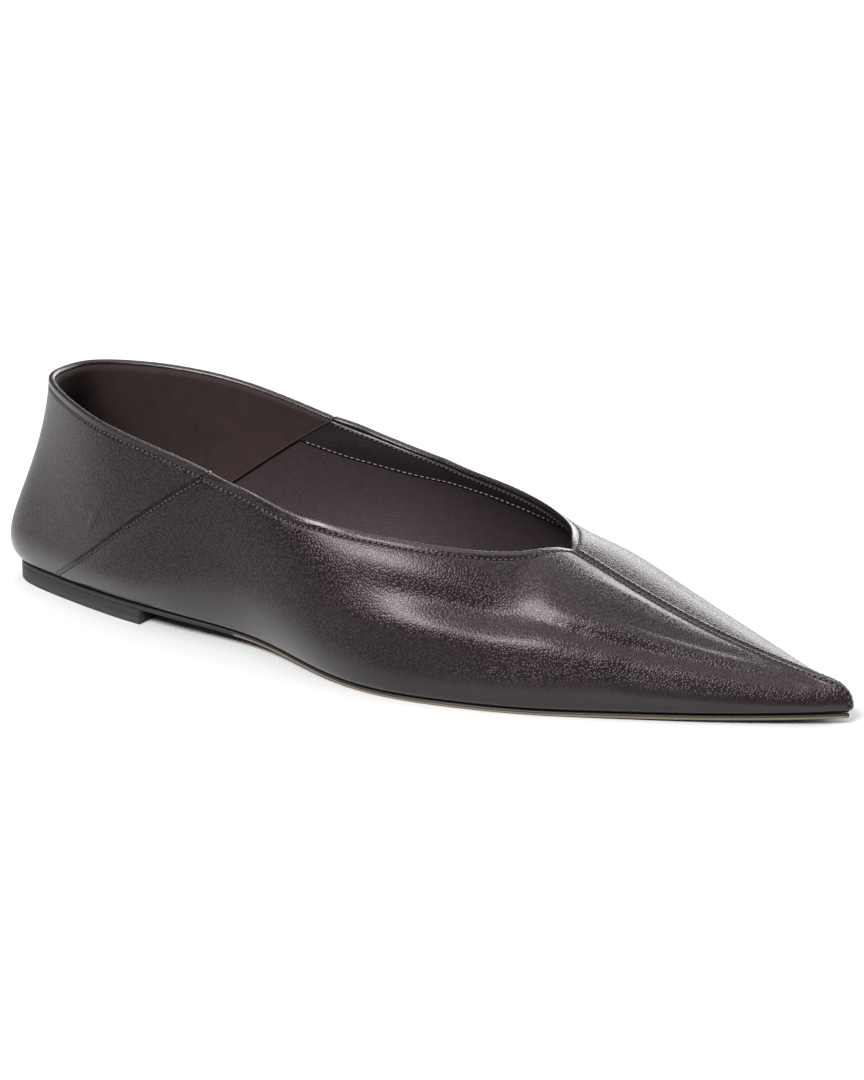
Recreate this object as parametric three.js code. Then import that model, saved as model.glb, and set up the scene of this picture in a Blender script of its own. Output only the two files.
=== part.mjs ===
import * as THREE from "three";
import { mergeVertices } from "three/addons/utils/BufferGeometryUtils.js";

// A flat shoe with a long pointed toe for the right foot, in millimetres.
// X runs from the heel to the toe, the outer side of the foot is at -Y, and the floor is at Z = 0.

const length = 272;
const ballWidth = 78;
const backHeight = 65;
const instep = 36.5;
const wall = 1.8;
const heelHeight = 4.5;
const heelLength = 59;
const soleThick = 1.3;
const toeSpring = 2;
const insoleThick = 2.4;
const toeFill = 12;
const insoleShort = 1.6;
const seamStep = 0.5;
const seamFade = 26;
const toeSwing = 4.8;
const heelSwing = 4;
const clearance = 0.3;

// Sections from the back to the tip. at, outer and inner place the foot of the upper: a share of the
// length, and shares of half the ball width to either side of the centre line. flare and rise lean the
// side outwards there, as shares of the instep. topAt, topHalf and topUp place the top of the section,
// outerFull, innerFull and drop round its shoulder, and open is how much of it the collar leaves.
const columns = "at outer inner flare rise topAt topHalf topUp outerFull innerFull drop open".split(" ");
const sections = {
  back: [0.017, 0, 0, 0.27, 0.25, 0.07, 0, 1, 0.09, 0.09, 0.5, 1],
  round: [0.031, 0.28, 0.27, 0.27, 0.25, 0.077, 0.24, 1, 0.09, 0.09, 0.5, 1],
  heel: [0.085, 0.45, 0.45, 0.22, 0.26, 0.115, 0.5, 1, 0.05, 0.05, 0.5, 1],
  seat: [0.19, 0.6, 0.6, 0.2, 0.28, 0.205, 0.79, 1.015, 0.03, 0.03, 0.45, 1],
  arch: [0.29, 0.68, 0.6, 0.24, 0.34, 0.305, 0.85, 1.045, 0.04, 0.04, 0.4, 1],
  waist: [0.39, 0.69, 0.62, 0.28, 0.36, 0.395, 0.88, 1.08, 0.09, 0.09, 0.35, 1],
  joint: [0.485, 0.885, 0.78, 0.22, 0.34, 0.49, 0.89, 1.12, 0.2, 0.2, 0.24, 1],
  ball: [0.57, 0.98, 0.93, 0.16, 0.3, 0.588, 0.56, 1.21, 0.41, 0.5, 0.03, 0.84],
  flex: [0.65, 0.925, 0.98, 0.13, 0.27, 0.664, 0.2, 1.095, 0.46, 0.72, 0, 0.87],
  throat: [0.72, 0.82, 0.9, 0.12, 0.24, 0.704, 0, 1, 0.58, 0.86, -0.05, 1],
  vamp: [0.8, 0.633, 0.73, 0.11, 0.2, 0.78, 0, 0.745, 0.46, 0.7, -0.04, 1],
  toe: [0.885, 0.42, 0.46, 0.08, 0.14, 0.87, 0, 0.5, 0.3, 0.46, -0.02, 1],
  point: [0.96, 0.18, 0.18, 0.05, 0.09, 0.955, 0, 0.345, 0.1, 0.14, 0, 1],
  nose: [0.99, 0.06, 0.06, 0.03, 0.06, 0.988, 0, 0.3, 0.03, 0.03, 0, 1],
  tip: [1, 0, 0, 0.03, 0.04, 0.998, 0, 0.23, 0.01, 0.01, 0, 1],
};
const rows = Object.keys(sections);
const lastRow = rows.length - 1;
const throatRow = rows.indexOf("throat");
const vampRow = rows.indexOf("vamp");
const crossesCentre = new Set(["outer", "inner"]);

// Shares of the length where the seam behind the side panels meets the sole and the collar. It leaves
// the sole more steeply than it reaches the collar, by its bow.
const counterSeam = { foot: 0.103, top: 0.35, bow: 1.2 };

// How many faces the upper has: along the counter, from its seam to the throat, and on to the tip.
const facesAlong = { counter: 15, side: 17, vamp: 17 };
const facesUp = 13;
const seamWidth = 0.05;
const soleFaces = 56;

const { clamp, lerp, smoothstep } = THREE.MathUtils;
const share = (x) => x / length + 0.5;

// A smooth curve through one value per row. A mirrored end meets its own reflection across the
// centre line, a level end has no slope, and a free end runs on as it comes.
function smoothCurve(values, start, end) {
  const last = values.length - 1;
  const lower = new Array(last + 1).fill(1);
  const diagonal = new Array(last + 1).fill(4);
  const upper = new Array(last + 1).fill(1);
  const right = values.map((value, i) => 3 * ((values[i + 1] ?? 0) - (values[i - 1] ?? 0)));
  const ends = {
    mirrored: (step) => [4, 2, 6 * step],
    level: () => [1, 0, 0],
    free: (step) => [2, 1, 3 * step],
  };
  [diagonal[0], upper[0], right[0]] = ends[start](values[1] - values[0]);
  [diagonal[last], lower[last], right[last]] = ends[end](values[last] - values[last - 1]);
  for (let i = 1; i <= last; i += 1) {
    const factor = lower[i] / diagonal[i - 1];
    diagonal[i] -= factor * upper[i - 1];
    right[i] -= factor * right[i - 1];
  }
  const slopes = new Array(last + 1);
  slopes[last] = right[last] / diagonal[last];
  for (let i = last - 1; i >= 0; i -= 1) slopes[i] = (right[i] - upper[i] * slopes[i + 1]) / diagonal[i];

  const piece = (row) => {
    const i = Math.min(Math.floor(clamp(row, 0, last)), last - 1);
    return { t: clamp(row, 0, last) - i, a: values[i], b: values[i + 1], p: slopes[i], q: slopes[i + 1] };
  };
  return {
    value(row) {
      const { t, a, b, p, q } = piece(row);
      const s = 1 - t;
      return a * (1 + 2 * t) * s * s + p * t * s * s + b * t * t * (3 - 2 * t) - q * t * t * s;
    },
    slope(row) {
      const { t, a, b, p, q } = piece(row);
      return 6 * t * (1 - t) * (b - a) + p * (1 - t) * (1 - 3 * t) + q * t * (3 * t - 2);
    },
  };
}

// The collar's own columns end at the throat, where the two sides meet.
const column = {};
columns.forEach((name, i) => {
  const values = rows.map((row) => sections[row][i]);
  const end = crossesCentre.has(name) ? "mirrored" : "level";
  const collar = values.slice(0, throatRow + 1);
  if (name === "topHalf") column[name] = smoothCurve(collar, "mirrored", "level");
  else if (name === "open") column[name] = smoothCurve(collar, "level", "free");
  else column[name] = smoothCurve(values, end, end);
});

// The row at which a column reaches a value, for columns that only grow: the rows that it lies between
// are halved until nothing is left between them.
function rowWhere(name, value) {
  let low = 0;
  let high = lastRow;
  let middle = (low + high) / 2;
  while (middle > low && middle < high) {
    if (column[name].value(middle) < value) low = middle;
    else high = middle;
    middle = (low + high) / 2;
  }
  return middle;
}

// Height of the sole's underside: level over the heel, down through the arch, and up again at the toe.
const archStart = 0.24;
const archEnd = 0.56;
const springStart = 0.7;
const springPower = 1.6;
function lift(x) {
  const spring = clamp((share(x) - springStart) / (1 - springStart), 0, 1);
  return heelHeight * (1 - smoothstep(share(x), archStart, archEnd)) + toeSpring * spring ** springPower;
}

// The centre line bends: the back and the tip lie further in than the ball.
const heelBendEnd = 0.22;
const bodyBend = { start: 0.12, end: 0.6, tipFade: 0.42 };
function centre(x) {
  const body = smoothstep(share(x), bodyBend.start, bodyBend.end);
  const beforeTip = smoothstep(1 - share(x), 0, bodyBend.tipFade);
  return heelSwing * (1 - smoothstep(share(x), 0, heelBendEnd)) - toeSwing * body * beforeTip;
}

// The foot of the upper, moved inwards by inset, on the outer side (-1) or the inner side (+1).
const upperFloor = (x) => lift(x) + soleThick + clearance;
function footPoint(row, side, inset = 0) {
  const half = column[side < 0 ? "outer" : "inner"];
  const along = column.at.slope(row) * length;
  const across = (half.slope(row) * ballWidth) / 2;
  const size = Math.hypot(along, across);
  const outward = new THREE.Vector2(-across / size, along / size);
  const x = (column.at.value(row) - 0.5) * length;
  const width = (half.value(row) * ballWidth) / 2;
  const y = side * (width - outward.y * inset) + centre(x);
  return { x: x - outward.x * inset, y, outward };
}

// The top of a section sits on a line that falls from the back to the instep.
const fallStart = 0.05;
const fallEnd = 0.62;
function skinPoint(row, reach, side) {
  const foot = footPoint(row, side);
  const value = (name) => column[name].value(row);
  const out = foot.outward;
  const floor = upperFloor(foot.x);
  const topX = (value("topAt") - 0.5) * length;
  const topY = (side * value("topHalf") * ballWidth) / 2 + centre(topX);
  const topLine = lerp(backHeight, instep, smoothstep(share(topX), fallStart, fallEnd));
  const topZ = value("topUp") * topLine;
  const flare = value("flare") * instep;
  const full = (value(side < 0 ? "outerFull" : "innerFull") * ballWidth) / 2;
  const bottom = new THREE.Vector3(foot.x, foot.y, floor);
  const low = new THREE.Vector3(out.x * flare, side * out.y * flare, value("rise") * instep).add(bottom);
  const top = new THREE.Vector3(topX, topY, topZ);
  const high = new THREE.Vector3(out.x * full, side * out.y * full, -value("drop") * topLine).add(top);
  return new THREE.CubicBezierCurve3(bottom, low, high, top).getPoint(reach);
}

// The share of a section that is left under the collar. In front of the throat it is all there.
const collarReach = (row) => (row >= throatRow ? 1 : Math.min(column.open.value(row), 1));

// The outward direction of the upper. At the foot it is kept level, so that the wall stands upright,
// and both sides share it at the middle of the back and on the front seam.
const nudge = 0.002;
const uprightReach = 0.15;
function skinNormal(row, reach, side, onFrontSeam = false) {
  const back = Math.max(row - nudge, 0);
  const down = Math.max(reach - nudge, 0);
  const along = skinPoint(back + 2 * nudge, reach, side).sub(skinPoint(back, reach, side));
  const up = skinPoint(row, down + nudge, side).sub(skinPoint(row, down, side));
  if (row === 0) along.set(0, side, 0);
  if (onFrontSeam) up.set(0, -side, 0);
  const normal = along.cross(up).multiplyScalar(-side);
  normal.z *= smoothstep(reach, 0, uprightReach);
  return normal.normalize();
}

// Faces are gathered as loose triangles and joined where their corners meet.
const sameCorner = 0.001;
function solid(name, faces, material) {
  const split = (face) => face.slice(2).flatMap((corner, i) => [face[0], face[i + 1], corner]);
  const loose = new THREE.BufferGeometry().setFromPoints(faces.flatMap(split));
  const geometry = mergeVertices(loose, sameCorner);
  const index = Array.from(geometry.index.array);
  const whole = [];
  for (let i = 0; i < index.length; i += 3) {
    const [a, b, c] = index.slice(i, i + 3);
    if (a !== b && b !== c && c !== a) whole.push(a, b, c);
  }
  geometry.setIndex(whole);
  geometry.computeVertexNormals();
  const mesh = new THREE.Mesh(geometry, material);
  mesh.name = name;
  return mesh;
}

// A strip of faces between two lines of points, turned over on the inner side of the shoe.
function strip(lower, upper, turned) {
  const faces = [];
  for (let i = 0; i + 1 < lower.length; i += 1) {
    const face = [lower[i], lower[i + 1], upper[i + 1], upper[i]];
    faces.push(turned ? face.reverse() : face);
  }
  return faces;
}

const grid = (lines, turned) => lines.slice(1).flatMap((line, j) => strip(lines[j], line, turned));

// The upper: two side panels meet on the front seam, and a counter panel lies behind a slanting seam.
// Columns of faces follow that seam, and the side panels stand a step proud of the counter there.
function makeUpper() {
  const seamFoot = rowWhere("at", counterSeam.foot);
  const seamTop = rowWhere("topAt", counterSeam.top);
  const spans = [
    { from: 0, to: seamTop - seamWidth, faces: facesAlong.counter },
    { from: seamTop - seamWidth, to: seamTop + seamWidth, faces: 1 },
    { from: seamTop + seamWidth, to: throatRow, faces: facesAlong.side },
    { from: throatRow, to: lastRow, faces: facesAlong.vamp },
  ];
  const stops = [0];
  for (const span of spans) {
    for (let i = 1; i <= span.faces; i += 1) stops.push(lerp(span.from, span.to, i / span.faces));
  }
  const heights = Array.from({ length: facesUp + 1 }, (_, j) => j / facesUp);

  const seamRow = (height) => lerp(seamFoot, seamTop, height ** counterSeam.bow);
  const slanted = (stop, height) => {
    const seam = seamRow(height);
    if (stop < seamTop) return (stop * seam) / seamTop;
    return lerp(seam, lastRow, (stop - seamTop) / (lastRow - seamTop));
  };
  const cavityEnd = rowWhere("at", 1 - toeFill / length);
  const packed = (row) => {
    if (row <= vampRow) return row;
    return lerp(vampRow, cavityEnd, (row - vampRow) / (lastRow - vampRow));
  };
  const proud = (stop, row, height) => {
    if (stop < seamTop) return 0;
    const ahead = (column.at.value(row) - column.at.value(seamRow(height))) * length;
    return seamStep * (1 - smoothstep(ahead, 0, seamFade)) * smoothstep(height, 0, uprightReach);
  };

  const outerLines = (side) =>
    heights.map((height) =>
      stops.map((stop) => {
        const row = slanted(stop, height);
        const reach = height * collarReach(row);
        const raised = proud(stop, row, height);
        const point = skinPoint(row, reach, side);
        return raised > 0 ? point.addScaledVector(skinNormal(row, reach, side), raised) : point;
      }),
    );
  const innerLines = (side) =>
    heights.map((height) =>
      stops.map((stop) => {
        const row = packed(slanted(stop, height));
        const reach = height * collarReach(row);
        const onFrontSeam = height === 1 && stop >= throatRow;
        const normal = skinNormal(row, reach, side, onFrontSeam);
        return skinPoint(row, reach, side).addScaledVector(normal, -wall);
      }),
    );

  const faces = [];
  const ends = {};
  for (const side of [-1, 1]) {
    const turned = side > 0;
    const outside = outerLines(side);
    const inside = innerLines(side);
    const collarEnd = stops.indexOf(throatRow) + 1;
    faces.push(...grid(outside, turned));
    faces.push(...grid(inside, !turned));
    faces.push(...strip(outside[facesUp].slice(0, collarEnd), inside[facesUp].slice(0, collarEnd), turned));
    faces.push(...strip(inside[0], outside[0], turned));
    ends[side] = inside.map((line) => line.at(-1));
    ends.tip = outside[0].at(-1);
  }
  faces.push(...strip(ends[1], ends[-1], false).map((face) => face.reverse()));
  faces.push([ends[-1][0], ends[1][0], ends.tip]);
  const leather = new THREE.MeshStandardMaterial({ color: 0x2b2527, roughness: 0.42, metalness: 0 });
  return solid("upper", faces, leather);
}

// A layer under or inside the upper: an outline between two rows, and its heights above and below.
function makeLayer(name, { from, to, inset, under, over, material }) {
  const stops = Array.from({ length: soleFaces + 1 }, (_, i) => lerp(from, to, i / soleFaces));
  const edge = (side, height) =>
    stops.map((row) => {
      const { x, y } = footPoint(row, side, inset);
      return new THREE.Vector3(x, row === 0 ? centre(x) : y, height(x));
    });
  const [nearLow, nearHigh] = [edge(-1, under), edge(-1, over)];
  const [farLow, farHigh] = [edge(1, under), edge(1, over)];
  const faces = [
    ...strip(nearHigh, farHigh, false),
    ...strip(farLow, nearLow, false),
    ...strip(nearLow, nearHigh, false),
    ...strip(farHigh, farLow, false),
  ];
  const last = stops.length - 1;
  faces.push([nearLow[last], farLow[last], farHigh[last], nearHigh[last]]);
  return solid(name, faces, material);
}

const soleEdge = new THREE.MeshStandardMaterial({ color: 0x1d1b1b, roughness: 0.55, metalness: 0 });
const lining = new THREE.MeshStandardMaterial({ color: 0x2c2825, roughness: 0.8, metalness: 0 });

const outsole = makeLayer("outsole", {
  from: 0,
  to: lastRow,
  inset: 0,
  under: lift,
  over: (x) => lift(x) + soleThick,
  material: soleEdge,
});

const heel = makeLayer("heel", {
  from: 0,
  to: rowWhere("at", column.at.value(0) + heelLength / length),
  inset: 0,
  under: () => 0,
  over: () => heelHeight - clearance,
  material: soleEdge,
});

const insole = makeLayer("insole", {
  from: 0,
  to: rowWhere("at", 1 - (toeFill + insoleShort) / length),
  inset: wall + clearance,
  under: upperFloor,
  over: (x) => upperFloor(x) + insoleThick,
  material: lining,
});

const shoe = new THREE.Group();
shoe.add(makeUpper(), outsole, heel, insole);

// The origin is the middle of the shoe's own footprint, on the floor.
const footprint = new THREE.Box3().setFromObject(shoe).getCenter(new THREE.Vector3());
shoe.position.set(-footprint.x, -footprint.y, 0);

export default shoe;
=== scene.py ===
import math

import bmesh
import bpy
import numpy as np
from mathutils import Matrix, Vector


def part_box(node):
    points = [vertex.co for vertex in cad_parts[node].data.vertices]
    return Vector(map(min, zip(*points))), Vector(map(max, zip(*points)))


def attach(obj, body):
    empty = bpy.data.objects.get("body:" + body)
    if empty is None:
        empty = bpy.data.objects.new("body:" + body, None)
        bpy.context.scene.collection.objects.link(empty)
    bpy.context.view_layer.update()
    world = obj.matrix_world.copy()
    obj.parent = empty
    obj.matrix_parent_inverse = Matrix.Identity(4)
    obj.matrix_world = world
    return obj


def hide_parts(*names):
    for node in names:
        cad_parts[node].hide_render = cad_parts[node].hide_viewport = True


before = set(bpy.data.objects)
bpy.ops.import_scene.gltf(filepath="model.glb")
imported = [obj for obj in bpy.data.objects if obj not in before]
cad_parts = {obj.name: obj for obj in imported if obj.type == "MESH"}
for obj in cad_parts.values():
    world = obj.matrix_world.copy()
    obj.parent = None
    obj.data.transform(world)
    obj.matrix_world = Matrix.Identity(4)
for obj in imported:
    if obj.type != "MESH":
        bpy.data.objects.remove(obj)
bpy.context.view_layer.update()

# Upper: two side panels of black pebbled nappa meet in a seam down the front, and at the back they lie
# over a counter panel along a slanting edge. The leather is pulled over a long pointed last, and its
# collar edge is folded in. Each section of the table is a place along the last, from the back to the tip.
mm = 0.001
length = 272 * mm
ball_width = 78 * mm
back_height = 65 * mm
instep = 36.5 * mm
heel_height = 4.5 * mm
sole_thick = 1.3 * mm
toe_spring = 2 * mm
toe_fill = 12 * mm
toe_swing = 4.8 * mm
heel_swing = 4 * mm
clearance = 0.3 * mm
columns = "at outer inner flare rise topAt topHalf topUp outerFull innerFull drop open".split()
sections = {
    "back": (0.017, 0, 0, 0.27, 0.25, 0.07, 0, 1, 0.09, 0.09, 0.5, 1),
    "round": (0.031, 0.28, 0.27, 0.27, 0.25, 0.077, 0.24, 1, 0.09, 0.09, 0.5, 1),
    "heel": (0.085, 0.45, 0.45, 0.22, 0.26, 0.115, 0.5, 1, 0.05, 0.05, 0.5, 1),
    "seat": (0.19, 0.6, 0.6, 0.2, 0.28, 0.205, 0.79, 1.015, 0.03, 0.03, 0.45, 1),
    "arch": (0.29, 0.68, 0.6, 0.24, 0.34, 0.305, 0.85, 1.045, 0.04, 0.04, 0.4, 1),
    "waist": (0.39, 0.69, 0.62, 0.28, 0.36, 0.395, 0.88, 1.08, 0.09, 0.09, 0.35, 1),
    "joint": (0.485, 0.885, 0.78, 0.22, 0.34, 0.49, 0.89, 1.12, 0.2, 0.2, 0.24, 1),
    "ball": (0.57, 0.98, 0.93, 0.16, 0.3, 0.588, 0.56, 1.21, 0.41, 0.5, 0.03, 0.84),
    "flex": (0.65, 0.925, 0.98, 0.13, 0.27, 0.664, 0.2, 1.095, 0.46, 0.72, 0, 0.87),
    "throat": (0.72, 0.82, 0.9, 0.12, 0.24, 0.704, 0, 1, 0.58, 0.86, -0.05, 1),
    "vamp": (0.8, 0.633, 0.73, 0.11, 0.2, 0.78, 0, 0.745, 0.46, 0.7, -0.04, 1),
    "toe": (0.885, 0.42, 0.46, 0.08, 0.14, 0.87, 0, 0.5, 0.3, 0.46, -0.02, 1),
    "point": (0.96, 0.18, 0.18, 0.05, 0.09, 0.955, 0, 0.345, 0.1, 0.14, 0, 1),
    "nose": (0.99, 0.06, 0.06, 0.03, 0.06, 0.988, 0, 0.3, 0.03, 0.03, 0, 1),
    "tip": (1, 0, 0, 0.03, 0.04, 0.998, 0, 0.23, 0.01, 0.01, 0, 1),
}
last_row = len(sections) - 1
throat_row = list(sections).index("throat")
vamp_row = list(sections).index("vamp")
near, far = -1, 1


def smooth(value, start, end):
    share = np.clip((value - start) / (end - start), 0, 1)
    return share * share * (3 - 2 * share)


class Curve:
    """A smooth line through one value per section. A mirrored end meets its own reflection across the
    centre line, a level end has no slope, and a free end runs on as it comes."""

    ends = {"mirrored": (4, 2, 6), "level": (1, 0, 0), "free": (2, 1, 3)}

    def __init__(self, values, start, end):
        self.values = np.array(values, float)
        self.last = len(values) - 1
        size = self.last + 1
        system = 4 * np.eye(size) + np.eye(size, k=1) + np.eye(size, k=-1)
        right = np.zeros(size)
        right[1:-1] = 3 * (self.values[2:] - self.values[:-2])
        for here, beside, kind in ((0, 1, start), (self.last, self.last - 1, end)):
            diagonal, side, factor = self.ends[kind]
            system[here, here] = diagonal
            system[here, beside] = side
            right[here] = factor * abs(beside - here) * (self.values[beside] - self.values[here])
            if here:
                right[here] = -right[here]
        self.slopes = np.linalg.solve(system, right)

    def parts(self, row):
        low = np.clip(np.floor(row), 0, self.last - 1).astype(int)
        share = np.clip(row, 0, self.last) - low
        return share, self.values[low], self.values[low + 1], self.slopes[low], self.slopes[low + 1]

    def __call__(self, row):
        t, a, b, p, q = self.parts(row)
        s = 1 - t
        return a * (1 + 2 * t) * s * s + p * t * s * s + b * t * t * (3 - 2 * t) - q * t * t * s

    def slope(self, row):
        t, a, b, p, q = self.parts(row)
        return 6 * t * (1 - t) * (b - a) + p * (1 - t) * (1 - 3 * t) + q * t * (3 * t - 2)


column = {}
for place, name in enumerate(columns):
    values = [section[place] for section in sections.values()]
    end = "mirrored" if name in ("outer", "inner") else "level"
    if name == "topHalf":
        column[name] = Curve(values[:throat_row + 1], "mirrored", "level")
    elif name == "open":
        column[name] = Curve(values[:throat_row + 1], "level", "free")
    else:
        column[name] = Curve(values, end, end)

# The row where a column that only grows reaches a value.
fine_rows = np.linspace(0, last_row, 4001)


def row_where(name, value):
    return np.interp(value, column[name](fine_rows), fine_rows)


def share_of_length(x):
    return x / length + 0.5


def lift(x):
    arch = smooth(share_of_length(x), 0.24, 0.56)
    spring = np.clip((share_of_length(x) - 0.7) / 0.3, 0, 1)
    return heel_height * (1 - arch) + toe_spring * spring ** 1.6


def centre(x):
    share = share_of_length(x)
    body = smooth(share, 0.12, 0.6) * smooth(1 - share, 0, 0.42)
    return heel_swing * (1 - smooth(share, 0, 0.22)) - toe_swing * body


def foot(row, side, inset=0):
    """The foot of the upper, moved in by inset: x, y and the outward direction as two shares."""
    half = column["outer" if side == near else "inner"]
    along = column["at"].slope(row) * length
    across = half.slope(row) * ball_width / 2
    size = np.hypot(along, across)
    out_x, out_y = -across / size, along / size
    x = (column["at"](row) - 0.5) * length
    y = side * (half(row) * ball_width / 2 - out_y * inset) + centre(x)
    return x - out_x * inset, y, out_x, out_y


# The shoe is drawn round its own middle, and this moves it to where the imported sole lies.
sole_low, sole_high = (np.array(corner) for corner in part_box("outsole"))
own_y = np.concatenate([foot(fine_rows, side)[1] for side in (near, far)])
origin = np.array([
    sole_high[0] - length / 2,
    (sole_low[1] + sole_high[1] - own_y.min() - own_y.max()) / 2,
    0,
])


def skin(row, reach, side):
    """Points of the outer face of the upper: reach goes from 0 at the sole to 1 at the top."""
    value = {name: curve(row) for name, curve in column.items()}
    x, y, out_x, out_y = foot(row, side)
    top_x = (value["topAt"] - 0.5) * length
    top_half = np.where(row >= throat_row, 0, value["topHalf"])
    top_y = side * top_half * ball_width / 2 + centre(top_x)
    line = back_height + (instep - back_height) * smooth(share_of_length(top_x), 0.05, 0.62)
    top_z = value["topUp"] * line
    flare = value["flare"] * instep
    full = value["outerFull" if side == near else "innerFull"] * ball_width / 2
    floor = lift(x) + sole_thick + clearance
    bottom = x, y, floor
    low = x + out_x * flare, y + side * out_y * flare, floor + value["rise"] * instep
    high = top_x + out_x * full, top_y + side * out_y * full, top_z - value["drop"] * line
    top = top_x, top_y, top_z
    weights = (1 - reach) ** 3, 3 * reach * (1 - reach) ** 2, 3 * reach ** 2 * (1 - reach), reach ** 3
    axes = [sum(w * p for w, p in zip(weights, points)) for points in zip(bottom, low, high, top)]
    return np.stack(axes, axis=-1) + origin


def unit(vectors):
    return vectors / np.maximum(np.linalg.norm(vectors, axis=-1, keepdims=True), 1e-12)


def skin_normal(row, reach, side, front_seam=False):
    nudge = 0.002
    back = np.maximum(row - nudge, 0)
    down = np.maximum(reach - nudge, 0)
    along = skin(back + 2 * nudge, reach, side) - skin(back, reach, side)
    up = skin(row, down + nudge, side) - skin(row, down, side)
    along = np.where((row == 0)[..., None], np.array([0, side, 0]), along)
    up = np.where(np.asarray(front_seam)[..., None], np.array([0, -side, 0]), up)
    normal = np.cross(along, up) * -side
    normal[..., 2] *= smooth(reach, 0, 0.15)
    return unit(normal)


# The seam behind the side panels leans forward from the sole to the collar, and columns follow it.
seam_foot = row_where("at", 0.103)
seam_top = row_where("topAt", 0.35)
seam_bow = 1.2


def leaning(stop, height):
    seam = seam_foot + (seam_top - seam_foot) * height ** seam_bow
    behind = stop * seam / seam_top
    ahead = seam + (last_row - seam) * (stop - seam_top) / (last_row - seam_top)
    return np.where(stop < seam_top, behind, ahead)


def collar_reach(row):
    return np.where(row >= throat_row, 1, np.minimum(column["open"](row), 1))


def paces(points, axis):
    """How far each point of a grid lies from the first one, measured along that axis."""
    steps = np.linalg.norm(np.diff(points, axis=axis), axis=-1)
    start = np.zeros_like(np.take(steps, [0], axis=axis))
    return np.concatenate([start, np.cumsum(steps, axis=axis)], axis=axis)


def spaced(places, distance, step, fine_step, fine_at, fine_reach):
    """Places picked so that they lie a step apart, and a fine step apart near the given distances."""
    near_fine = np.min([np.abs(distance - at) for at in fine_at], axis=0)
    gap = fine_step + (step - fine_step) * smooth(near_fine, fine_reach, 3 * fine_reach)
    count = np.concatenate([[0], np.cumsum(np.diff(distance) / gap[1:])])
    picked = np.linspace(0, count[-1], int(math.ceil(count[-1])) + 1)
    return np.interp(picked, count, places)


# Columns and heights of the leather's faces: close together at the seams and along the collar.
def stops_between(start, end, seam=True):
    places = np.linspace(start, end, 2001)
    walk = paces(skin(leaning(places, 0.5), 0.5 * collar_reach(leaning(places, 0.5)), near), 0)
    seams = [np.interp(seam_top, places, walk)] if seam else [walk[0] - 1]
    return spaced(places, walk, 0.95 * mm, 0.22 * mm, seams, 2.2 * mm)


stops = np.concatenate([
    stops_between(0, seam_top)[:-1],
    stops_between(seam_top, throat_row)[:-1],
    stops_between(throat_row, last_row, seam=False),
])
throat_stop = int(np.argmin(np.abs(stops - throat_row)))
side_rise = 66 * mm
rises = np.linspace(0, 1, 2001)
heights = spaced(rises, rises * side_rise, 1.0 * mm, 0.3 * mm, [side_rise], 3.4 * mm)

# The rim of the collar, from outside to inside: out is measured from the leather's face and up from the
# collar line. The leather is folded in over a tape, so its edge is round, and sharper on the outside.
rim_out = np.array([-0.02, -0.1, -0.3, -0.65, -1.05, -1.45, -1.75, -1.9, -1.95, -1.8, -1.1]) * mm
rim_up = np.array([-0.3, -0.12, -0.02, 0, -0.03, -0.14, -0.36, -0.75, -1.3, -1.45, -1.5]) * mm
rim_start = 0.6 * mm
rim_pulled = 0.45
leather = 1.1 * mm
wall = 1.8 * mm

# Relief near the edges of the panels, by distance from the edge.
collar_stitch = 2 * mm
front_stitch = 1.25 * mm
counter_stitch = 0.85 * mm
panel_step = 0.5 * mm


def hump(distance, middle, width):
    return np.exp(-((distance - middle) / width) ** 2)


def collar_relief(edge):
    tape = 0.1 * mm * (1 - smooth(edge, 0.9 * mm, 1.3 * mm))
    return tape - 0.22 * mm * hump(edge, collar_stitch, 0.45 * mm)


def front_relief(edge):
    band = 0.28 * mm * (1 - smooth(edge, 1.6 * mm, 2.1 * mm))
    join = 0.22 * mm * hump(edge, 0, 0.3 * mm)
    return band - join - 0.05 * mm * hump(edge, front_stitch, 0.35 * mm)


def counter_relief(ahead):
    step = panel_step * smooth(ahead, -0.05 * mm, 0.35 * mm) * (1 - smooth(ahead, 3 * mm, 26 * mm))
    groove = 0.35 * mm * hump(ahead, -0.15 * mm, 0.3 * mm)
    sewn = 0.15 * mm * hump(ahead, counter_stitch, 0.35 * mm)
    puffed = 0.5 * mm * hump(ahead, 5 * mm, 3.5 * mm)
    return step - groove - sewn + puffed


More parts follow.
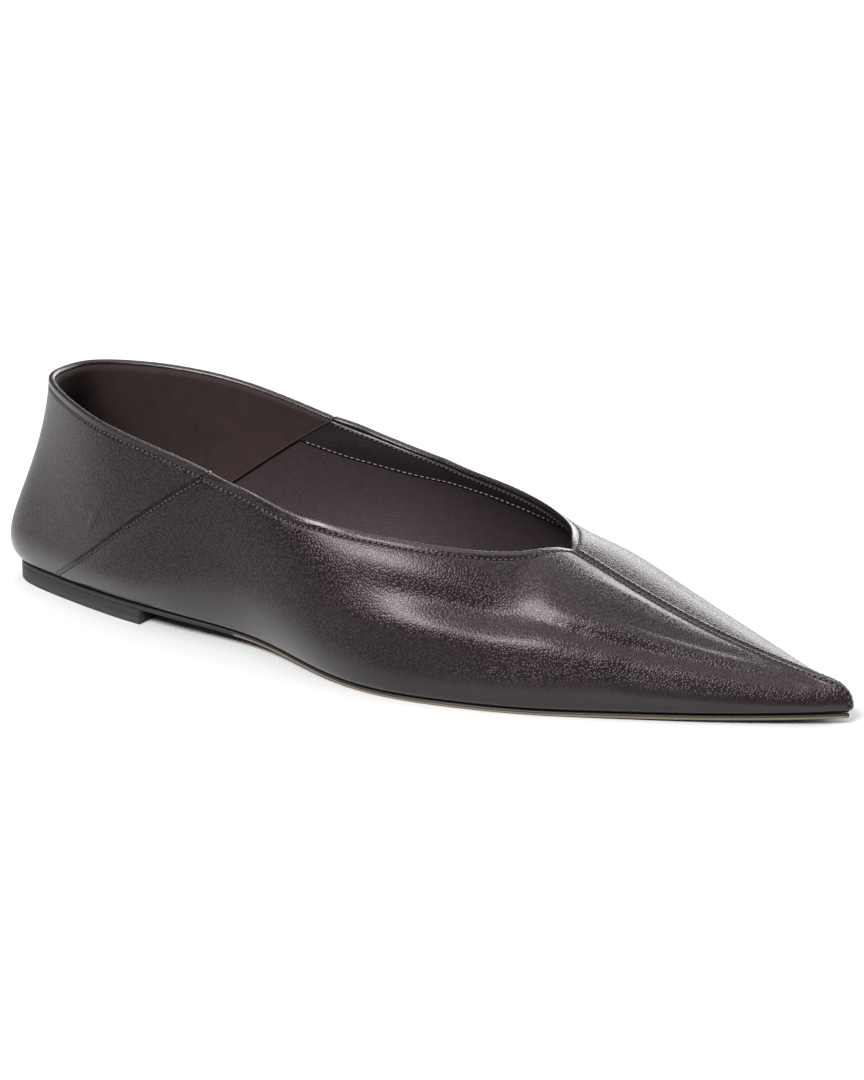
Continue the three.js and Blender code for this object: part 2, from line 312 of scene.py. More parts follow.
# Soft folds of the worn-in leather, listed one by one. Each is its width and its depth in millimetres, where
# a ridge has a negative depth, and points as shares of the length and of the height of the side.
folds = {
    near: [
        (4, 1.2, [(0.54, 0.7), (0.6, 0.67), (0.65, 0.61), (0.69, 0.56), (0.75, 0.52)]),
        (5.2, -1.45, [(0.49, 0.47), (0.57, 0.48), (0.63, 0.475), (0.7, 0.425), (0.78, 0.4)]),
        (2, 1, [(0.7, 0.52), (0.77, 0.52), (0.83, 0.555), (0.95, 0.62)]),
        (2.5, -0.5, [(0.76, 0.42), (0.82, 0.44), (0.88, 0.46), (0.96, 0.5)]),
        (2.2, 0.8, [(0.73, 0.67), (0.78, 0.7), (0.84, 0.74), (0.92, 0.81)]),
        (2.2, -0.55, [(0.73, 0.6), (0.8, 0.63), (0.87, 0.67), (0.93, 0.73)]),
        (3, -0.35, [(0.75, 0.84), (0.8, 0.9), (0.86, 0.95)]),
        (3.5, -0.4, [(0.7, 0.95), (0.7, 0.75), (0.72, 0.6)]),
        (3.5, 0.5, [(0.67, 0.95), (0.675, 0.8), (0.69, 0.62)]),
        (0.8, -0.32, [(0.197, 0.67), (0.188, 0.61), (0.181, 0.55), (0.177, 0.5)]),
        (0.7, -0.25, [(0.192, 0.65), (0.206, 0.68), (0.216, 0.7)]),
        (0.8, -0.2, [(0.188, 0.61), (0.171, 0.61), (0.156, 0.6)]),
    ],
    far: [
        (3, 0.5, [(0.52, 0.7), (0.6, 0.62), (0.68, 0.58), (0.76, 0.6)]),
        (5, -0.7, [(0.5, 0.5), (0.6, 0.45), (0.7, 0.44), (0.8, 0.46)]),
        (2.5, 0.4, [(0.76, 0.74), (0.82, 0.75), (0.9, 0.78)]),
    ],
}


def fold_relief(points, side):
    total = np.zeros(points.shape[:2])
    for wide, deep, path in folds[side]:
        at, height = np.array(path).T
        shares = np.linspace(0, 1, 61)
        bend = [Curve(values, "free", "free") for values in (at, height)]
        along, up = (curve(shares * (len(at) - 1)) for curve in bend)
        row = row_where("at", along)
        reach = up * collar_reach(row)
        line = skin(row, reach, side)
        gaps = np.linalg.norm(points[:, :, None] - line, axis=-1)
        nearest = gaps.argmin(axis=-1)
        fade = np.sin(np.pi * np.clip(shares, 0.04, 0.96)) ** 0.6
        total -= deep * mm * fade[nearest] * hump(gaps.min(axis=-1), 0, wide * mm)
    return total


# Below this line the leather is pulled tight over the edge of the last, and its grain is stretched flat:
# shares of the length, and of the height of the side. At the sole the leather turns in under the last.
pulled_at = [0, 0.24, 0.33, 0.43, 0.5, 0.58, 0.73, 0.82, 0.94, 1]
pulled_up = [0.3, 0.23, 0.38, 0.42, 0.28, 0.21, 0.21, 0.33, 0.3, 0.4]
turned_in = 0.8 * mm
turned_high = 1.7 * mm


def side_panels(side):
    """The leather's outer face on one side, with how far each point lies from the seams and edges."""
    row = leaning(stops, heights[:, None])
    reach = heights[:, None] * collar_reach(row)
    plain = skin(row, reach, side)
    rise = paces(plain, 0)
    lowered = rim_start * smooth(throat_row - row, 0, 0.12)
    reach = reach * (1 - lowered * heights[:, None] ** 6 / np.maximum(rise[-1], 1e-9))
    base = skin(row, reach, side)
    on_seam = (heights[:, None] == 1) & (row >= throat_row)
    normal = skin_normal(row, reach, side, on_seam)

    along, up = unit(np.gradient(plain, axis=1)), unit(np.gradient(plain, axis=0))
    crossing = np.linalg.norm(np.cross(along, up), axis=-1)
    seam_stop = np.argmin(np.abs(stops - seam_top))
    walk = paces(plain, 1)
    ahead = (walk - walk[:, [seam_stop]]) * crossing[:, [seam_stop]]
    edge = (rise[-1] - rise) * crossing[-1]
    tip = walk[:, [-1]] - walk

    front = smooth(row, throat_row - 0.05, throat_row + 0.05)
    seam_edge = np.minimum(edge, np.where(row > throat_row, tip, 1))
    body = smooth(edge, 1 * mm, 6 * mm) * smooth(tip, 1 * mm, 8 * mm)
    relief = (1 - front) * collar_relief(edge) + front * front_relief(seam_edge)
    relief += counter_relief(ahead) * smooth(heights[:, None], 0, 0.08)
    relief += fold_relief(plain, side) * body
    relief -= turned_in * (1 - smooth(rise, 0, turned_high)) ** 2
    line = np.interp(share_of_length(plain[..., 0]), pulled_at, pulled_up)
    stretched = 1 - smooth(heights[:, None] / line, 0.55, 1.25)
    folded = rim_pulled * (1 - front) * (1 - smooth(edge, 0.6 * mm, 1.1 * mm))
    return {
        "face": base + normal * relief[..., None],
        "out": normal,
        "row": row,
        "edge": edge,
        "ahead": ahead,
        "tip": tip,
        "pulled": np.maximum(stretched, folded),
    }


def collar_rim(panel, side):
    """The folded edge from the top of the outer face to the hidden back of the leather."""
    top = panel["face"][-1, :throat_stop + 1]
    row = panel["row"][-1, :throat_stop + 1]
    reach = collar_reach(row)
    out = skin_normal(row, reach, side, row >= throat_row)
    along = unit(np.gradient(top, axis=0))
    up = unit(np.cross(along, out) * side)
    backward = np.array([-1.0, 0, 0.35])
    shared = unit(backward - out * (out @ backward)[:, None])
    blend = smooth(row, throat_row - 0.22, throat_row)[:, None]
    up = unit(up * (1 - blend) + shared * blend)
    lifts = rim_up + rim_start
    return top + out * rim_out[:, None, None] + up * lifts[:, None, None]


def packed(row):
    """Rows of the cavity: in front of the vamp they crowd together and end where the toe is filled."""
    cavity_end = row_where("at", 1 - toe_fill / length)
    crowded = vamp_row + (cavity_end - vamp_row) * (row - vamp_row) / (last_row - vamp_row)
    return np.where(row <= vamp_row, row, crowded)


def inside_rise(side, places):
    """The height of the cavity's side at each place, measured up along its face."""
    shares = np.linspace(0, 1, 24)[:, None]
    row = packed(leaning(places, shares))
    return paces(skin(row, shares * collar_reach(row), side), 0)[-1]


def inner_face(side, depth, places, shares, below):
    """A face inside the upper at a depth under its skin, its top a distance below the collar line."""
    row = packed(leaning(places, shares))
    lowered = below / np.maximum(inside_rise(side, places), 1e-9) * smooth(throat_row - row, 0, 0.3)
    reach = shares * collar_reach(row) * (1 - lowered)
    on_seam = (shares == 1) & (row >= throat_row)
    return skin(row, reach, side) - skin_normal(row, reach, side, on_seam) * np.asarray(depth)[..., None]


class Sewing:
    """Grids of points that share their edges, gathered into one closed mesh."""

    def __init__(self):
        self.points = []
        self.faces = []
        self.finishes = []
        self.pulled = []
        self.count = 0

    def sheet(self, grid, turned=False, finish=0, pulled=None):
        high, wide = grid.shape[:2]
        index = self.count + np.arange(high * wide).reshape(high, wide)
        quads = np.stack([index[:-1, :-1], index[:-1, 1:], index[1:, 1:], index[1:, :-1]], axis=-1)
        quads = quads.reshape(-1, 4)
        self.faces.append(quads[:, ::-1] if turned else quads)
        self.finishes.append(np.broadcast_to(finish, (high - 1, wide - 1)).ravel())
        self.points.append(grid.reshape(-1, 3))
        self.pulled.append(np.zeros(high * wide) if pulled is None else pulled.ravel())
        self.count += high * wide

    def piece(self, name, materials, body):
        weld = 0.002 * mm
        mesh = bpy.data.meshes.new(name)
        mesh.from_pydata(np.concatenate(self.points), [], np.concatenate(self.faces).tolist())
        mesh.polygons.foreach_set("material_index", np.concatenate(self.finishes))
        for material in materials:
            mesh.materials.append(material)
        pulled = mesh.attributes.new("pulled_tight", "FLOAT", "POINT")
        pulled.data.foreach_set("value", np.concatenate(self.pulled))
        build = bmesh.new()
        build.from_mesh(mesh)
        bmesh.ops.remove_doubles(build, verts=build.verts, dist=weld)
        bmesh.ops.dissolve_degenerate(build, edges=build.edges, dist=weld / 10)
        for face in build.faces:
            face.smooth = True
        build.to_mesh(mesh)
        build.free()
        made = bpy.data.objects.new(name, mesh)
        bpy.context.scene.collection.objects.link(made)
        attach(made, body)
        return made


class Wire:
    """One socket of a material's nodes. Sums and products of wires add Math nodes."""

    def __init__(self, tree, socket=None):
        self.tree = tree
        self.socket = socket

    def node(self, kind, settings, sockets, output=0):
        made = self.tree.nodes.new("ShaderNode" + kind)
        for name, value in settings.items():
            setattr(made, name, value)
        for name, value in sockets.items():
            if isinstance(value, Wire):
                self.tree.links.new(value.socket, made.inputs[name])
            else:
                made.inputs[name].default_value = value
        return Wire(self.tree, made.outputs[output])

    def math(self, operation, *values):
        return self.node("Math", {"operation": operation}, dict(enumerate(values)))

    def __add__(self, other):
        return self.math("ADD", self, other)

    def __radd__(self, other):
        return self.math("ADD", other, self)

    def __sub__(self, other):
        return self.math("SUBTRACT", self, other)

    def __rsub__(self, other):
        return self.math("SUBTRACT", other, self)

    def __mul__(self, other):
        return self.math("MULTIPLY", self, other)

    def __rmul__(self, other):
        return self.math("MULTIPLY", other, self)

    def vector(self, operation, *values):
        return self.node("VectorMath", {"operation": operation}, dict(enumerate(values)))

    def between(self, start, end):
        ranges = {"From Min": start, "From Max": end}
        return self.node("MapRange", {"interpolation_type": "SMOOTHSTEP"}, {"Value": self, **ranges})

    def noise(self, size, detail=2.0, output="Fac"):
        sockets = {"Vector": self, "Scale": 1 / size, "Detail": detail}
        return self.node("TexNoise", {}, sockets, output)

    def stirred(self, size, amount):
        """The same place, pushed about a little by noise."""
        noise = self.noise(size, output="Color")
        push = self.vector("SUBTRACT", noise, (0.5, 0.5, 0.5))
        return self.vector("MULTIPLY_ADD", push, (amount, amount, amount), self)

    def cells(self, size, soft=0.5):
        sockets = {"Vector": self, "Scale": 1 / size, "Smoothness": soft}
        return self.node("TexVoronoi", {"feature": "SMOOTH_F1"}, sockets, "Distance")

    def mark(self, name):
        """A number kept on the mesh's own points."""
        return self.node("Attribute", {"attribute_name": name}, {}, "Fac")

    def tint(self, dark, light):
        """A colour between two, by this wire's value."""
        sockets = {0: self, 6: (*dark, 1), 7: (*light, 1)}
        return self.node("Mix", {"data_type": "RGBA"}, sockets, 2)


class Finish:
    """A material: constants are set on the shader's own sockets, and what varies is wired to them."""

    def __init__(self, name, **constants):
        self.material = bpy.data.materials.new(name)
        self.material.use_nodes = True
        self.tree = self.material.node_tree
        self.shader = self.tree.nodes["Principled BSDF"]
        for socket, value in constants.items():
            self.shader.inputs[socket.replace("_", " ")].default_value = value
        self.place = Wire(self.tree).node("TexCoord", {}, {}, "Object")

    def wire(self, name, value):
        self.tree.links.new(value.socket, self.shader.inputs[name])

    def noise(self, size, detail):
        return self.place.noise(size, detail)

    def colour(self, shade, dark, light):
        self.wire("Base Color", shade.tint(dark, light))

    def bump(self, height, deep):
        sockets = {"Height": height, "Distance": deep, "Strength": 1.0}
        self.wire("Normal", self.place.node("Bump", {}, sockets))


pebble = 0.6 * mm
pebble_deep = 0.07 * mm


def pebbles_of(finish):
    return 1 - finish.place.stirred(0.9 * mm, 0.12 * mm).cells(pebble, 0.15)


nappa = Finish(
    "pebbled_nappa",
    Specular_IOR_Level=0.22,
    Specular_Tint=(1, 0.8, 0.86, 1),
    Coat_Roughness=0.28,
)
patches = nappa.noise(14 * mm, 2.0)
pebbles = pebbles_of(nappa)
tops = pebbles.between(0.42, 0.72)
pulled = nappa.place.mark("pulled_tight")
grain = 1 - 0.85 * pulled
# The base colour is lighter on the pebbles' tops and darker in the pits between them: partly the grain's own
# tone, partly painted shade in its hollows.
nappa.colour(0.35 * patches + 0.7 * tops * grain, (0.0018, 0.0011, 0.0012), (0.011, 0.0072, 0.008))
nappa.wire("Roughness", 0.3 + 0.06 * patches - 0.04 * pulled)
nappa.wire("Coat Weight", 0.04 + 0.17 * tops * grain + 0.6 * pulled)
nappa.bump((pebbles + 0.5 * tops + 0.08 * nappa.noise(0.3 * mm, 3.0)) * grain, pebble_deep)

panels = {side: side_panels(side) for side in (near, far)}
for lines in (np.s_[-1, throat_stop:], np.s_[:, 0], np.s_[:, -1]):
    shared = (panels[near]["face"][lines] + panels[far]["face"][lines]) / 2
    for side in (near, far):
        panels[side]["face"][lines] = shared

sewn = Sewing()
back_heights = np.linspace(0, 1, 10)[:, None]
toe_ends = {}
for side in (near, far):
    turned = side == far
    panel = panels[side]
    sewn.sheet(panel["face"], turned, pulled=panel["pulled"])
    rim = collar_rim(panel, side)
    folded = np.concatenate([panel["face"][-1:, :throat_stop + 1], rim])
    sewn.sheet(folded, turned, pulled=np.full(folded.shape[:2], rim_pulled))
    hidden = inner_face(side, leather, stops, back_heights, 1.6 * mm)
    hidden[-1, :throat_stop + 1] = rim[-1]
    sewn.sheet(hidden, not turned)
    sewn.sheet(np.stack([hidden[0], panel["face"][0]]), turned)
    toe_ends[side] = hidden[:, -1]
    tip_foot = panel["face"][0, -1]
sewn.sheet(np.stack([toe_ends[near], toe_ends[far]], axis=1), turned=False)
sewn.sheet(np.array([[toe_ends[far][0], toe_ends[near][0]], [tip_foot, tip_foot]]))
upper = sewn.piece("leather_upper", [nappa.material], "root")
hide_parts("upper")

# Stitches: one row of waxed black thread on each side follows the collar, runs on beside the front seam
# and over the tip, and another holds the side panel on the counter. Between stitches a flat dark disc is
# painted shade for each needle hole.
thread_wide = 0.42 * mm
stitch_pitch = 1.65 * mm
stitch_long = 1.3 * mm
hole_wide = 0.7 * mm
waxed_thread = Finish("waxed_black_thread", Specular_IOR_Level=0.3)
waxed_thread.colour(waxed_thread.noise(0.3 * mm, 2.0), (0.018, 0.0145, 0.0152), (0.05, 0.041, 0.043))
waxed_thread.wire("Roughness", 0.45 + 0.2 * waxed_thread.noise(0.5 * mm, 2.0))
waxed_thread.bump(waxed_thread.noise(0.12 * mm, 2.0), 0.04 * mm)
# A near-black flat finish: painted shade standing in for the inside of a needle hole.
painted_hole_shade = Finish("painted_hole_shade", Roughness=1.0, Specular_IOR_Level=0.1)
painted_hole_shade.colour(painted_hole_shade.noise(0.4 * mm, 2.0), (0.001, 0.0008, 0.0008), (0.003, 0.0025, 0.0025))


def level_line(panel, distance, levels, lines):
    """Where the face lies a given distance from an edge: a point and an outward direction per grid line."""
    points, out = [], []
    for level, line in zip(np.broadcast_to(levels, len(lines)), lines):
        away = panel[distance][line]
        order = np.argsort(away)
        for found, values in ((points, panel["face"]), (out, panel["out"])):
            found.append([np.interp(level, away[order], values[line][order, axis]) for axis in range(3)])
    return np.array(points), unit(np.array(out))


def stitch_row(sewing, points, out, pitch, long, wide):
    """Short bodies along a line, with a flat dark disc of painted shade for a needle hole before each: the
    thread dips in at both ends.
    """
    walk = paces(points, 0)
    count = int(walk[-1] / pitch)
    spare = (walk[-1] - count * pitch) / 2

    def at(places, values):
        return np.stack([np.interp(places, walk, values[:, axis]) for axis in range(3)], axis=-1)

    turns = np.linspace(0, 2 * np.pi, 9)
    bodies = (
        (0.5, long / 2, wide / 2, wide / 2, 0.08 * mm, 0.16 * mm, 7, 0),
        # The second body is a flat dark disc: painted shade for the needle hole.
        (0, hole_wide / 2, hole_wide / 2, 0.12 * mm, 0.05 * mm, 0, 5, 1),
    )
    for phase, half, across, thick, lifted, dip, stations, finish in bodies:
        steps = -np.cos(np.linspace(0, np.pi, stations))
        round_off = np.sqrt(np.maximum(1 - steps ** 2, 0)) ** (0.5 if finish == 0 else 1)
        for place in spare + (np.arange(count) + phase) * pitch:
            ahead = unit(at(place + 0.2 * mm, points) - at(place - 0.2 * mm, points))
            up = unit(at(place, out))
            beside = unit(np.cross(up, ahead))
            up = np.cross(ahead, beside)
            raised = lifted - dip * steps ** 2
            spine = at(place, points) + ahead * (steps * half)[:, None] + up * raised[:, None]
            ring = beside * (np.cos(turns) * across)[:, None] + up * (np.sin(turns) * thick)[:, None]
            sewing.sheet(spine[:, None] + ring * round_off[:, None, None], finish=finish)


# The rows over the tip and on the counter end at these shares of the side's height.
tip_row_end = 0.04
counter_row_end = 0.03
seam_threads = Sewing()
for side in (near, far):
    panel = panels[side]
    at_front = smooth(panel["row"][-1], throat_row - 0.12, throat_row + 0.1)
    levels = collar_stitch + (front_stitch - collar_stitch) * at_front
    points, out = level_line(panel, "edge", levels, [np.s_[:, stop] for stop in range(len(stops))])
    tip_away = np.array([
        np.interp(-level, -panel["edge"][:, stop], panel["tip"][:, stop])
        for stop, level in enumerate(levels)
    ])
    kept = tip_away > front_stitch
    lines = np.flatnonzero((heights > tip_row_end) & (panel["edge"][:, -1] > 1.1 * mm))[::-1]
    tip_points, tip_out = level_line(panel, "tip", front_stitch, [np.s_[line, :] for line in lines])
    lower = tip_points[:, 2] < points[kept][-1, 2] - 0.4 * mm
    points = np.concatenate([points[kept], tip_points[lower]])
    out = np.concatenate([out[kept], tip_out[lower]])
    stitch_row(seam_threads, points, out, stitch_pitch, stitch_long, thread_wide)
    seam_stop = int(np.argmin(np.abs(stops - seam_top)))
    below_collar = panel["edge"][:, seam_stop] > collar_stitch + 0.6 * mm
    lines = np.flatnonzero((heights > counter_row_end) & below_collar)
    points, out = level_line(panel, "ahead", counter_stitch, [np.s_[line, :] for line in lines])
    stitch_row(seam_threads, points, out, stitch_pitch, stitch_long, thread_wide)
sewn_with = [waxed_thread.material, painted_hole_shade.material]
seam_threads.piece("seam_stitches", sewn_with, "root")

# Outsole: a thin leather sole cut to the outline of the last, its edge pared, painted black and waxed.
# From the waist forward, the lower half of the edge and the underside stay the tan of the leather.
heel_length = 59 * mm
heel_row = row_where("at", column["at"](np.array(0.0)) + heel_length / length)
tan_leather = Finish("tan_sole_leather", Roughness=0.6)
tan_leather.colour(tan_leather.noise(9 * mm, 4.0), (0.1, 0.07, 0.048), (0.16, 0.115, 0.082))
tan_leather.bump(tan_leather.noise(0.6 * mm, 3.0), 0.04 * mm)
edge_paint = Finish("black_edge_paint", Specular_IOR_Level=0.3, Coat_Roughness=0.35, Coat_Weight=0.05)
edge_paint.colour(edge_paint.noise(4 * mm, 3.0), (0.008, 0.007, 0.007), (0.016, 0.014, 0.0138))
edge_paint.wire("Roughness", 0.42 + 0.2 * edge_paint.noise(2 * mm, 3.0))
edge_paint.bump(edge_paint.noise(0.5 * mm, 3.0), 0.05 * mm)


def layer(sewing, end_row, levels, finishes, painted_to=0):
    """A flat layer of the last's outline. A level is an inset and a height, both worked out along it, and
    finishes has one number for the top, one for each strip between levels, and one for the underside.
    Up to the row painted_to it has the first finish all over."""
    across = 14
    stations = 220
    rows = end_row * (1 - np.cos(np.linspace(0, np.pi, stations))) / 2
    bare = rows[:-1] >= painted_to
    lines = []
    for inset, height in levels:
        sides = []
        for side in (near, far):
            x, y, *_ = foot(rows, side, inset(rows))
            y[0] = centre(x[0])
            if end_row == last_row:
                y[-1] = centre(x[-1])
            sides.append(np.stack([x, y, height(x)], axis=-1) + origin)
        lines.append(sides)
    rim = np.array(lines)
    shares = np.linspace(0, 1, across)[:, None, None]
    sewing.sheet(rim[0, 0] * (1 - shares) + rim[0, 1] * shares, False, finishes[0])
    for upper, finish in enumerate(finishes[1:-1]):
        strip = rim[[upper + 1, upper]]
        sewing.sheet(strip[:, 0], False, finish * bare)
        sewing.sheet(strip[:, 1], True, finish * bare)
        if end_row < last_row:
            ends = strip[:, 0, -1, None] * (1 - shares[:, 0]) + strip[:, 1, -1, None] * shares[:, 0]
            sewing.sheet(ends, False, finish)
    sewing.sheet(rim[-1, 0] * (1 - shares) + rim[-1, 1] * shares, True, finishes[-1] * bare)


# In front of the heel the sole is set in a little under the upper.
def set_in(rows):
    return 0.45 * mm * smooth(rows, 3.1, 4.4)


def sole_level(inset, down):
    return lambda rows: inset + set_in(rows), lambda x: lift(x) + sole_thick - down


sole = Sewing()
layer(
    sole,
    last_row,
    [
        sole_level(0.6 * mm, 0),
        sole_level(0.15 * mm, 0.06 * mm),
        sole_level(0, 0.25 * mm),
        sole_level(0, 0.62 * mm),
        sole_level(0, 1.05 * mm),
        sole_level(0.12 * mm, 1.24 * mm),
        sole_level(0.4 * mm, 1.3 * mm),
    ],
    [0, 0, 0, 0, 1, 1, 1, 1],
    painted_to=4.6,
)
sole_finishes = [edge_paint.material, tan_leather.material]
outsole = sole.piece("leather_outsole", sole_finishes, "root")
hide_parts("outsole")

# Heel: a low block of leather lifts under the seat of the sole, trimmed flush with its edge and painted
# with it. A thin rubber top piece is nailed on below and meets the floor.
top_piece = 1.9 * mm
top_rubber = Finish("top_piece_rubber", Roughness=0.7)
top_rubber.colour(top_rubber.noise(3 * mm, 3.0), (0.01, 0.01, 0.01), (0.02, 0.019, 0.018))
top_rubber.bump(top_rubber.noise(0.4 * mm, 3.0), 0.04 * mm)
block = Sewing()


def flat_level(inset, height):
    return lambda rows: np.full_like(rows, inset), lambda x: np.full_like(x, height)


layer(
    block,
    heel_row,
    [
        flat_level(0.1 * mm, heel_height),
        flat_level(0, heel_height - 0.1 * mm),
        flat_level(0, top_piece + 0.12 * mm),
        flat_level(0.02 * mm, top_piece),
        flat_level(0, top_piece - 0.12 * mm),
        flat_level(0, 0.35 * mm),
        flat_level(0.3 * mm, 0.0),
    ],
    [0, 0, 0, 0, 1, 1, 1, 1],
)
heel = block.piece("heel_block", [edge_paint.material, top_rubber.material], "root")
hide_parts("heel")

# Sock: a leather sock glued over the insole board, thin and slightly crowned, in the dark brown of the
# heel lining. Its edge tucks in between the board and the lining.
sock_thick = 2.4 * mm
sock_inset = wall + clearance
sock_leather = Finish("sock_leather", Roughness=0.6, Specular_IOR_Level=0.25, Specular_Tint=(1, 0.8, 0.8, 1))
sock_leather.colour(sock_leather.noise(7 * mm, 3.0), (0.01, 0.0065, 0.0062), (0.018, 0.012, 0.0115))
sock_leather.bump(1 - sock_leather.place.cells(pebble), 0.06 * mm)
sock_short = 1.6 * mm
sock_row = row_where("at", 1 - (toe_fill + sock_short) / length)
sock = Sewing()


def sock_level(inset, up):
    seat = sole_thick + clearance + up
    return lambda rows: np.full_like(rows, sock_inset + inset), lambda x: lift(x) + seat


layer(
    sock,
    sock_row,
    [
        sock_level(1.0 * mm, sock_thick),
        sock_level(0.3 * mm, sock_thick - 0.2 * mm),
        sock_level(0, sock_thick - 0.8 * mm),
        sock_level(0, 0.1 * mm),
    ],
    [0, 0, 0, 0, 0],
)
insole = sock.piece("sock_and_insole", [sock_leather.material], "root")
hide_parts("insole")

# Linings: a suede-like counter lining at the heel laps over a grained quarter lining, which runs on into
# the toe. A smooth leather facing is stitched over its top below the collar with a light thread.
heel_suede = Finish("heel_suede", Roughness=0.8, Specular_IOR_Level=0.2, Specular_Tint=(1, 0.75, 0.75, 1))
heel_suede.colour(heel_suede.noise(5 * mm, 5.0), (0.011, 0.0065, 0.0064), (0.02, 0.013, 0.0126))
heel_suede.bump(heel_suede.noise(0.35 * mm, 4.0), 0.1 * mm)
quarter_grain = Finish(
    "quarter_grain",
    Roughness=0.6,
    Specular_IOR_Level=0.2,
    Specular_Tint=(1, 0.8, 0.84, 1),
)
quarter_shade = 0.6 * quarter_grain.noise(2 * mm, 5.0) + 0.4 * quarter_grain.noise(0.5 * mm, 3.0)
quarter_grain.colour(quarter_shade, (0.009, 0.006, 0.0063), (0.026, 0.019, 0.0198))
quarter_grain.bump(1 - quarter_grain.place.cells(pebble), 0.06 * mm)
smooth_facing = Finish(
    "smooth_facing",
    Specular_Tint=(1, 0.85, 0.88, 1),
    Coat_Weight=0.15,
    Coat_Roughness=0.25,
)
smooth_facing.colour(smooth_facing.noise(6 * mm, 4.0), (0.006, 0.0048, 0.005), (0.012, 0.0097, 0.01))
smooth_facing.wire("Roughness", 0.36 + 0.12 * smooth_facing.noise(1.5 * mm, 3.0))
smooth_facing.bump(pebbles_of(smooth_facing), 0.08 * mm)
light_thread = Finish("light_thread", Roughness=0.45)
light_thread.colour(light_thread.noise(0.4 * mm, 2.0), (0.09, 0.08, 0.078), (0.17, 0.155, 0.15))
light_thread.bump(light_thread.noise(0.12 * mm, 2.0), 0.04 * mm)

# How deep the layers lie under the leather's outer face, and how far below the collar each ends.
lining_back = 1.15 * mm
counter_face = 2.35 * mm
quarter_face = 1.7 * mm
facing_back = 1.72 * mm
facing_face = 2.05 * mm
facing_puff = 0.5 * mm
counter_below = 0.95 * mm
quarter_below = 1.4 * mm
facing_below = 1.1 * mm


def lining_sheet(sewing, side, places, shares, outer_depth, inner_depth, below):
    """A closed thin shell between two depths under the skin. It is open where it meets the other side."""
    turned = side == far
    back = inner_face(side, outer_depth, places, shares, below)
    face = inner_face(side, inner_depth, places, shares, below)
    collar = places <= throat_row
    sewing.sheet(back, turned)
    sewing.sheet(face, not turned)
    sewing.sheet(np.stack([back[-1, collar], face[-1, collar]]), turned)
    sewing.sheet(np.stack([face[0], back[0]]), turned)
    for end in ([0, -1] if places[0] > 0 else [-1]):
        sewing.sheet(np.stack([back[:, end], face[:, end]], axis=1), turned == (end == 0))
    return face, back


def lining_stops(start, end):
    step = 0.045
    count = int(math.ceil((end - start) / step))
    places = np.linspace(start, end, count + 1)
    return np.union1d(places, throat_row) if start < throat_row < end else places


lining_shares = np.linspace(0, 1, 44)[:, None]
counter_lining = Sewing()
for side in (near, far):
    places = lining_stops(0, seam_top)
    lining_sheet(counter_lining, side, places, lining_shares, lining_back, counter_face, counter_below)
counter_lining.piece("counter_lining", [heel_suede.material], "root")

quarter = Sewing()
for side in (near, far):
    places = lining_stops(seam_top, last_row)
    lining_sheet(quarter, side, places, lining_shares, lining_back, quarter_face, quarter_below)
quarter.piece("quarter_lining", [quarter_grain.material], "root")

# The facing reaches this far below the collar, in millimetres, at these rows.
facing_rows = [4.1, 4.6, 5.2, 5.8, 6.4, 7, 7.7, 9]
facing_deep = [13.4, 14.7, 14, 13, 12.3, 11, 10.2, 9.5]
facing_start = seam_top - 0.03
facing_end = throat_row + 1.2
facing_pitch = 1.9 * mm
facing_long = 1.65 * mm
facing_wide = 0.26 * mm
facing = Sewing()
facing_threads = Sewing()
seam_inside = Sewing()
up = np.linspace(0, 1, 16)[:, None]
for side in (near, far):
    places = lining_stops(facing_start, facing_end)
    lower = 1 - np.interp(places, facing_rows, facing_deep) * mm / inside_rise(side, places)
    shares = lower + (1 - lower) * up
    puffed = facing_puff * smooth(places, seam_top, seam_top + 0.5)
    depth = facing_face + puffed * np.sin(np.pi * up)
    face, back = lining_sheet(facing, side, places, shares, facing_back, depth, facing_below)
    climb = paces(face, 0)
    grid = {"face": face, "out": unit(face - back), "up": climb, "down": climb[-1] - climb}
    behind_seam = np.flatnonzero(places > seam_top + 0.05)
    points, out = level_line(grid, "up", 0.7 * mm, [np.s_[:, stop] for stop in behind_seam])
    stitch_row(facing_threads, points, out, facing_pitch, facing_long, facing_wide)
    to_throat = behind_seam[places[behind_seam] < throat_row - 0.1]
    points, out = level_line(grid, "down", 1.1 * mm, [np.s_[:, stop] for stop in to_throat])
    stitch_row(seam_inside, points, out, stitch_pitch, stitch_long, thread_wide)
facing.piece("collar_facing", [smooth_facing.material], "root")
facing_sewn = [light_thread.material, painted_hole_shade.material]
facing_threads.piece("facing_stitches", facing_sewn, "root")
seam_inside.piece("inside_collar_stitches", sewn_with, "root")

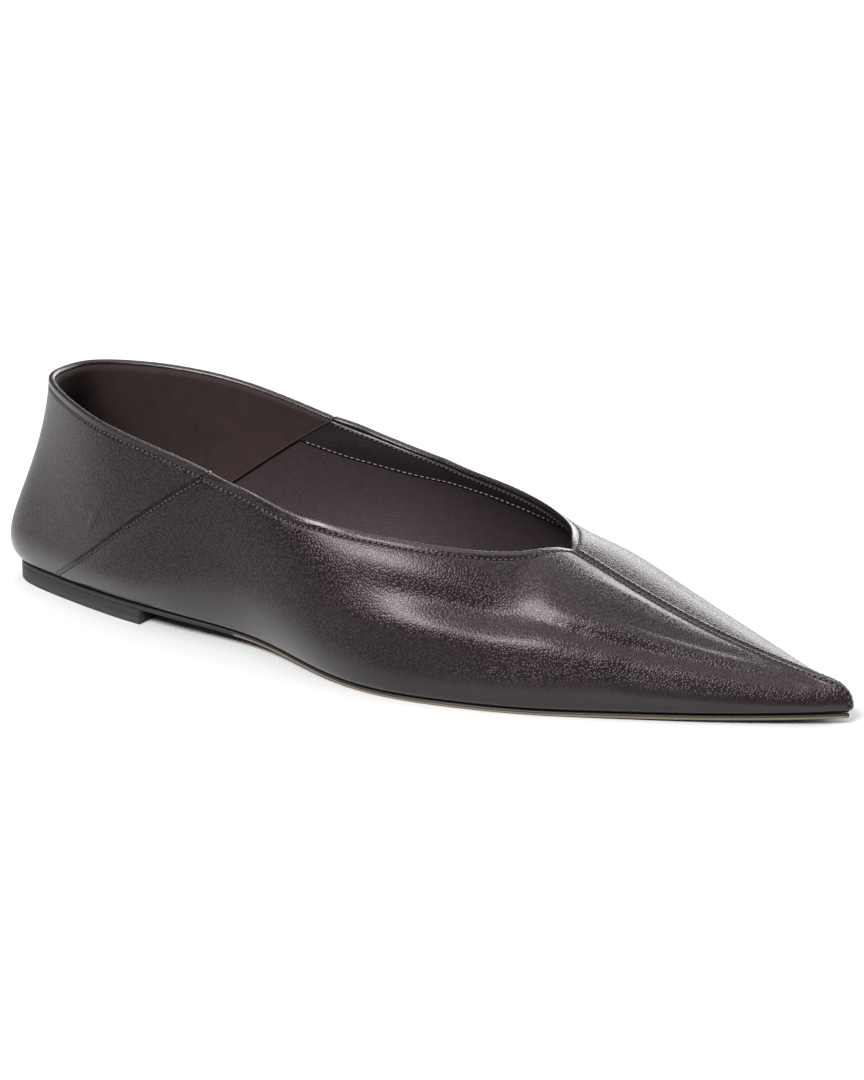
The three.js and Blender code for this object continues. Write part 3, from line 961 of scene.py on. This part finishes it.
# Floor, light and camera: a white sheet under a soft box in front, a low one behind and a bright patch of
# ceiling, seen at the angle of the photograph. The dim rest of the room keeps the leather dark.
studio_white = Finish("studio_white", Roughness=0.9)
studio_white.colour(studio_white.noise(0.5, 1.0), (0.43, 0.43, 0.43), (0.45, 0.45, 0.45))
bpy.ops.mesh.primitive_plane_add(size=60, location=(0, 0, 0))
floor = bpy.context.object
floor.name = "studio_floor"
floor.data.materials.append(studio_white.material)


def soft_box(name, place, wide, deep, power):
    light = bpy.data.lights.new(name, "AREA")
    light.shape = "RECTANGLE"
    light.size = wide
    light.size_y = deep
    light.energy = power
    made = bpy.data.objects.new(name, light)
    bpy.context.scene.collection.objects.link(made)
    made.location = place
    direction = np.array(lit_middle) - np.array(place)
    turn = math.atan2(direction[1], direction[0])
    fall = math.atan2(-direction[2], math.hypot(direction[0], direction[1]))
    made.rotation_euler = (math.pi / 2 - fall, 0, turn - math.pi / 2)


lit_middle = (0, 0, 0.02)
soft_box("key_box", (-0.2, -3, 2.7), 2, 1.2, 380)
soft_box("back_box", (0.6, 2.75, 1.1), 4, 1.5, 130)
studio = bpy.data.worlds.new("studio")
studio.use_nodes = True
toward = Wire(studio.node_tree).node("TexCoord", {}, {}, "Generated")
overhead = toward.node("SeparateXYZ", {}, {"Vector": toward}, "Z").between(0.72, 0.9)
glow = overhead.tint((0.2, 0.2, 0.21), (2.8, 2.8, 2.8))
studio.node_tree.links.new(glow.socket, studio.node_tree.nodes["Background"].inputs["Color"])
bpy.context.scene.world = studio
bpy.context.scene.view_settings.view_transform = "Standard"

azimuth = math.radians(29.7)
elevation = math.radians(17.5)
distance = 0.88
aim = np.array([9.6 * mm, 0, 31.2 * mm]) + origin
away = np.array([
    math.sin(azimuth) * math.cos(elevation),
    -math.cos(azimuth) * math.cos(elevation),
    math.sin(elevation),
])
lens = bpy.data.cameras.new("photo_view")
lens.lens = 105.43
lens.sensor_width = 36
camera = bpy.data.objects.new("photo_view", lens)
bpy.context.scene.collection.objects.link(camera)
camera.location = aim + away * distance
camera.rotation_euler = (math.pi / 2 - elevation, 0, azimuth)
bpy.context.scene.camera = camera
